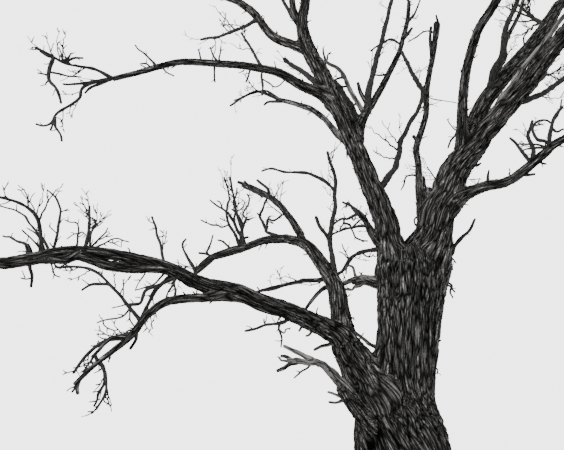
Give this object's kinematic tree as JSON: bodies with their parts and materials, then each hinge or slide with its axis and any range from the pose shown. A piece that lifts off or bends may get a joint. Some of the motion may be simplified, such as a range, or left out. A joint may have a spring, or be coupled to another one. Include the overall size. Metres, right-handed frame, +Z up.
{
  "type": "dead tree",
  "caption": "Whole dead tree, bare of leaves: a fluted trunk that forks into two stems, with twisted boughs and masses of bare twigs.",
  "frame": {"origin": "middle of the flat cut under the trunk, at ground level", "axes": "+Z up; the side that the picture shows faces -Y, with +X to the viewer's right"},
  "size_m": [10.872, 7.8379, 9.994],
  "materials": {
    "bark": "rough, furrowed, weathered bark",
    "bare_wood": "peeled grey wood, matte",
    "twigs": "thin dry twigs, matte"
  },
  "bodies": {
    "root": {"trunk": "bark", "low_left_bough": "bark", "left_stem": "bark", "right_stem": "bark", "drooping_bough": "bark", "arched_bough_rise": "bark", "arched_bough_fall": "bark", "bare_stub_limb": "bare_wood", "bare_low_limb": "bare_wood", "upper_left_bough": "bark", "upper_rear_bough": "bark", "peeled_limb": "bare_wood", "left_rear_bough": "bark", "front_bough": "bark", "centre_limb": "bark", "right_low_bough": "bark", "right_rear_bough": "bark", "right_front_bough": "bark", "back_right_bough": "bark", "back_bough": "bark", "low_left_tip_twigs": "twigs", "low_left_outer_twigs": "twigs", "low_left_fan_twigs": "twigs", "low_left_upright_twigs": "twigs", "low_left_inner_twigs": "twigs", "low_left_under_twigs": "twigs", "drooping_hanging_twigs": "twigs", "drooping_side_twigs": "twigs", "drooping_upper_twigs": "twigs", "arched_tip_twigs": "twigs", "arched_bush_twigs": "twigs", "arched_top_twigs": "twigs", "arched_upright_twigs": "twigs", "fork_rear_twigs": "twigs", "fork_curl_twigs": "twigs", "cross_twigs": "twigs", "upper_left_tip_twigs": "twigs", "upper_left_hanging_twigs": "twigs", "upper_left_middle_twigs": "twigs", "upper_rear_tip_twigs": "twigs", "upper_rear_side_twigs": "twigs", "left_fork_twigs": "twigs", "peeled_tip_twigs": "twigs", "left_rear_tip_twigs": "twigs", "left_rear_near_twigs": "twigs", "left_rear_bare_twigs": "twigs", "left_top_twigs": "twigs", "left_side_twigs": "twigs", "front_tip_twigs": "twigs", "centre_side_twigs": "twigs", "right_front_tip_twigs": "twigs", "right_rear_near_twigs": "twigs", "right_rear_tip_twigs": "twigs", "right_rear_side_twigs": "twigs", "right_middle_tip_twigs": "twigs", "right_middle_side_twigs": "twigs", "right_low_tip_twigs": "twigs", "right_low_curled_twigs": "twigs", "back_right_tip_twigs": "twigs", "back_tip_twigs": "twigs"}
  },
  "joints": []
}
